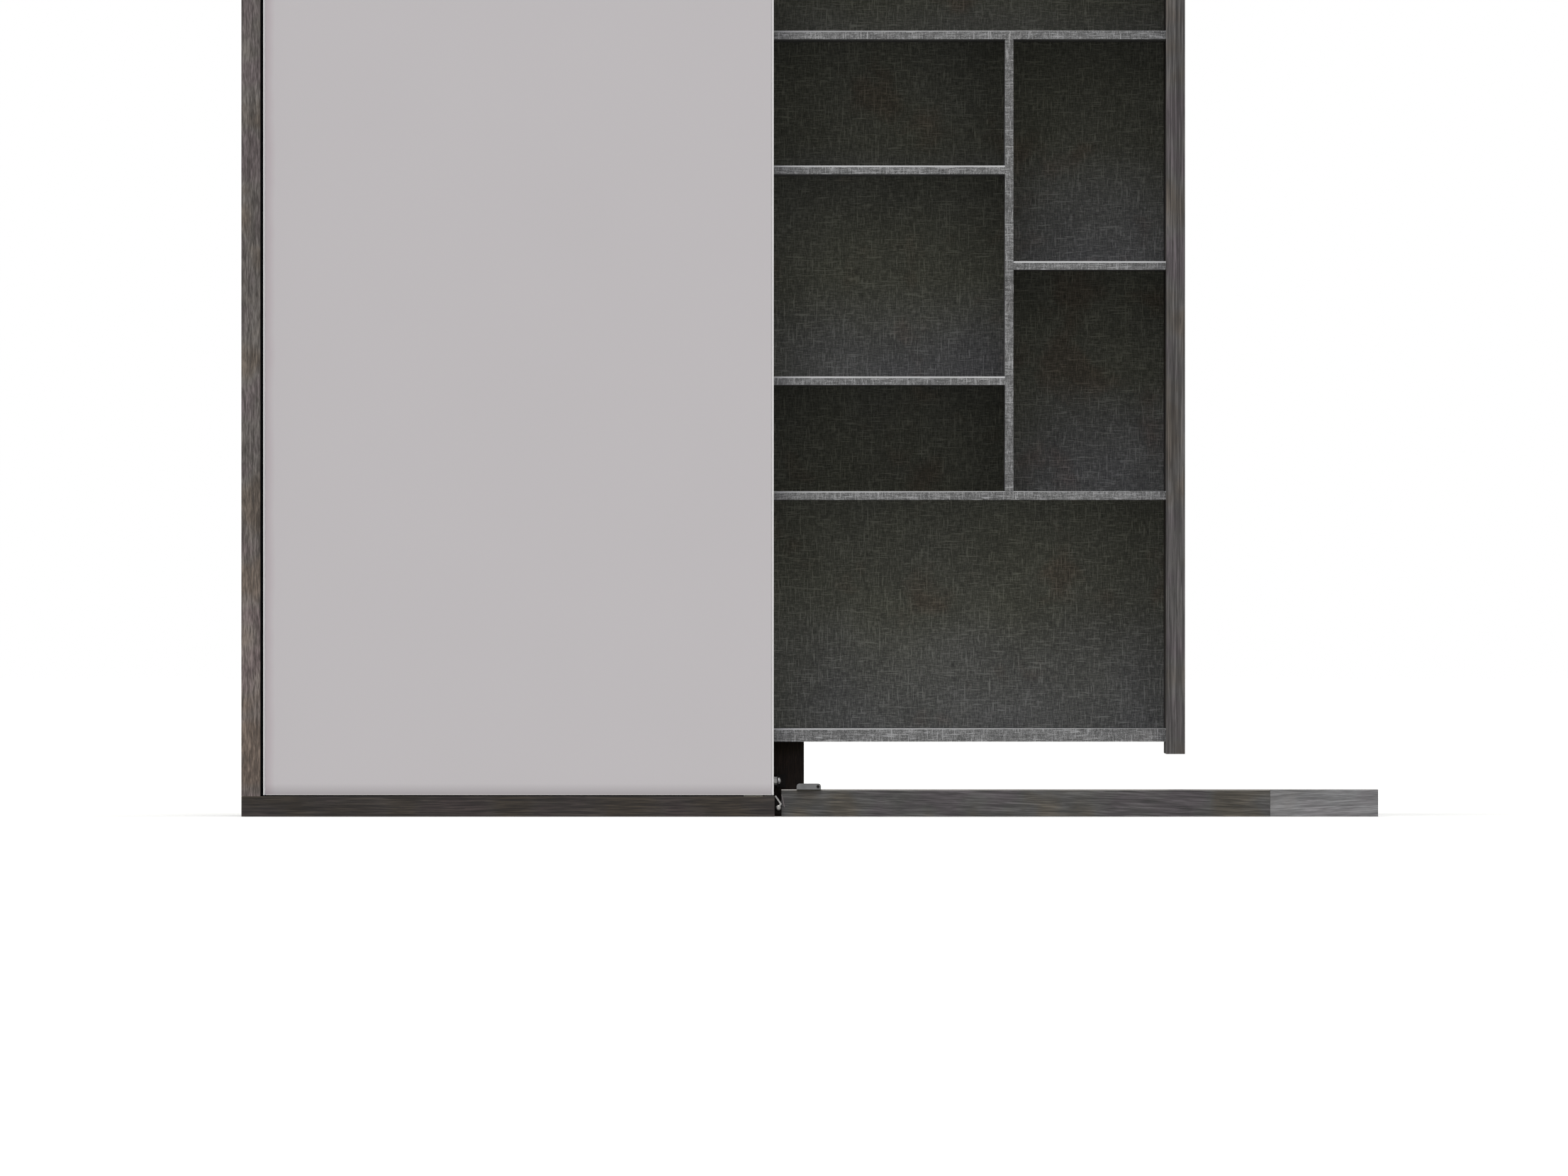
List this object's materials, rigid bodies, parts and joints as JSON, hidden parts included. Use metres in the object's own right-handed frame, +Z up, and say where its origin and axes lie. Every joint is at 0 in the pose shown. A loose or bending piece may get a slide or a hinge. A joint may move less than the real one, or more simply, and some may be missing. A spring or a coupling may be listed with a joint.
{
  "type": "sliding door wardrobe",
  "caption": "Wardrobe with one hanging sliding door over a closed bay, a raised open bay of linen shelving, and a low floor runner with a catch.",
  "frame": {"origin": "on the floor, at the middle of the overall length over end panel and runner and of the depth", "axes": "+X along the front to the right, +Y to the back, towards the wall, +Z up"},
  "size_m": [2.405, 0.64, 2.085],
  "materials": {
    "oak_frame": "smoked oak decor, vertical grain, matt",
    "oak_base": "smoked oak decor, horizontal grain, matt",
    "oak_block": "very dark smoked oak decor, vertical grain, matt",
    "oak_runner": "smoked oak decor, horizontal grain, matt",
    "oak_runner_end": "light grey oak decor, horizontal grain, matt",
    "linen_board": "linen-look melamine on board",
    "satin_lacquer": "light grey satin lacquer on board",
    "aluminium_profile": "satin anodised",
    "bright_steel": "bright nickel plated",
    "zinc_steel": "zinc plated",
    "black_steel": "black powder coat",
    "buffer_rubber": "matt",
    "brush_pile": "black brush pile",
    "grey_nylon": "moulded",
    "white_nylon": "moulded",
    "beech_dowel": "fluted beech"
  },
  "bodies": {
    "carcass": {"left_end_panel": "oak_frame", "right_end_panel": "oak_frame", "top_board": "oak_frame", "base_board": "oak_base", "centre_partition": "linen_board", "left_back_panel": "linen_board", "open_back_panel": "linen_board", "open_bay_floor": "linen_board", "lower_shelf": "linen_board", "upper_shelf": "linen_board", "bay_divider": "linen_board", "left_shelf_low": "linen_board", "left_shelf_high": "linen_board", "right_shelf": "linen_board", "support_block": "oak_block", "hat_shelf": "linen_board", "hanging_rail": "bright_steel", "rail_sockets": "bright_steel", "rail_screws": "zinc_steel", "carcass_dowels": "beech_dowel", "shelf_dowels": "beech_dowel", "top_track": "aluminium_profile", "track_screws": "zinc_steel", "track_stops": "buffer_rubber", "door_guide": "white_nylon", "guide_screws": "zinc_steel", "dust_seal": "brush_pile", "runner_board": "oak_runner", "runner_end": "oak_runner_end", "runner_dowels": "beech_dowel", "guide_shoe": "grey_nylon", "shoe_pin": "zinc_steel", "bolt_bracket": "black_steel", "bracket_screws": "black_steel", "tie_bolt": "zinc_steel", "tie_nut": "zinc_steel", "latch_plate": "black_steel", "lever_pivot": "zinc_steel", "keeper_plate": "zinc_steel", "wall_brackets": "zinc_steel", "wall_bracket_screws": "zinc_steel"},
    "door": {"door_panel": "satin_lacquer", "door_edge_left": "aluminium_profile", "door_edge_right": "aluminium_profile", "door_stiffeners": "aluminium_profile", "hanger_left": "zinc_steel", "hanger_right": "zinc_steel", "hanger_screws": "zinc_steel", "wheel_axles": "zinc_steel"},
    "lever": {"catch_lever": "zinc_steel"},
    "roller_body_1": {"roller_1": "white_nylon"},
    "roller_body_2": {"roller_2": "white_nylon"},
    "roller_body_3": {"roller_3": "white_nylon"},
    "roller_body_4": {"roller_4": "white_nylon"}
  },
  "joints": [
    {"name": "door_slide", "type": "slide", "parent": "carcass", "child": "door", "axis": [1, 0, 0], "range_m": [0, 0.829]},
    {"name": "roller_1_spin", "type": "hinge", "parent": "door", "child": "roller_body_1", "pos_m": [-1.1065, -0.254, 1.9808], "axis": [0, 1, 0], "continuous": true},
    {"name": "roller_2_spin", "type": "hinge", "parent": "door", "child": "roller_body_2", "pos_m": [-1.0265, -0.254, 1.9808], "axis": [0, 1, 0], "continuous": true},
    {"name": "roller_3_spin", "type": "hinge", "parent": "door", "child": "roller_body_3", "pos_m": [-0.2065, -0.254, 1.9808], "axis": [0, 1, 0], "continuous": true},
    {"name": "roller_4_spin", "type": "hinge", "parent": "door", "child": "roller_body_4", "pos_m": [-0.1265, -0.254, 1.9808], "axis": [0, 1, 0], "continuous": true},
    {"name": "lever_turn", "type": "hinge", "parent": "carcass", "child": "lever", "pos_m": [-0.0665, -0.292, 0.019], "axis": [0, 1, 0], "range_deg": [0, 75]}
  ],
  "couplings": [
    {"joint": "roller_1_spin", "follows": "door_slide", "rad_per_m": 80},
    {"joint": "roller_2_spin", "follows": "door_slide", "rad_per_m": 80},
    {"joint": "roller_3_spin", "follows": "door_slide", "rad_per_m": 80},
    {"joint": "roller_4_spin", "follows": "door_slide", "rad_per_m": 80}
  ]
}
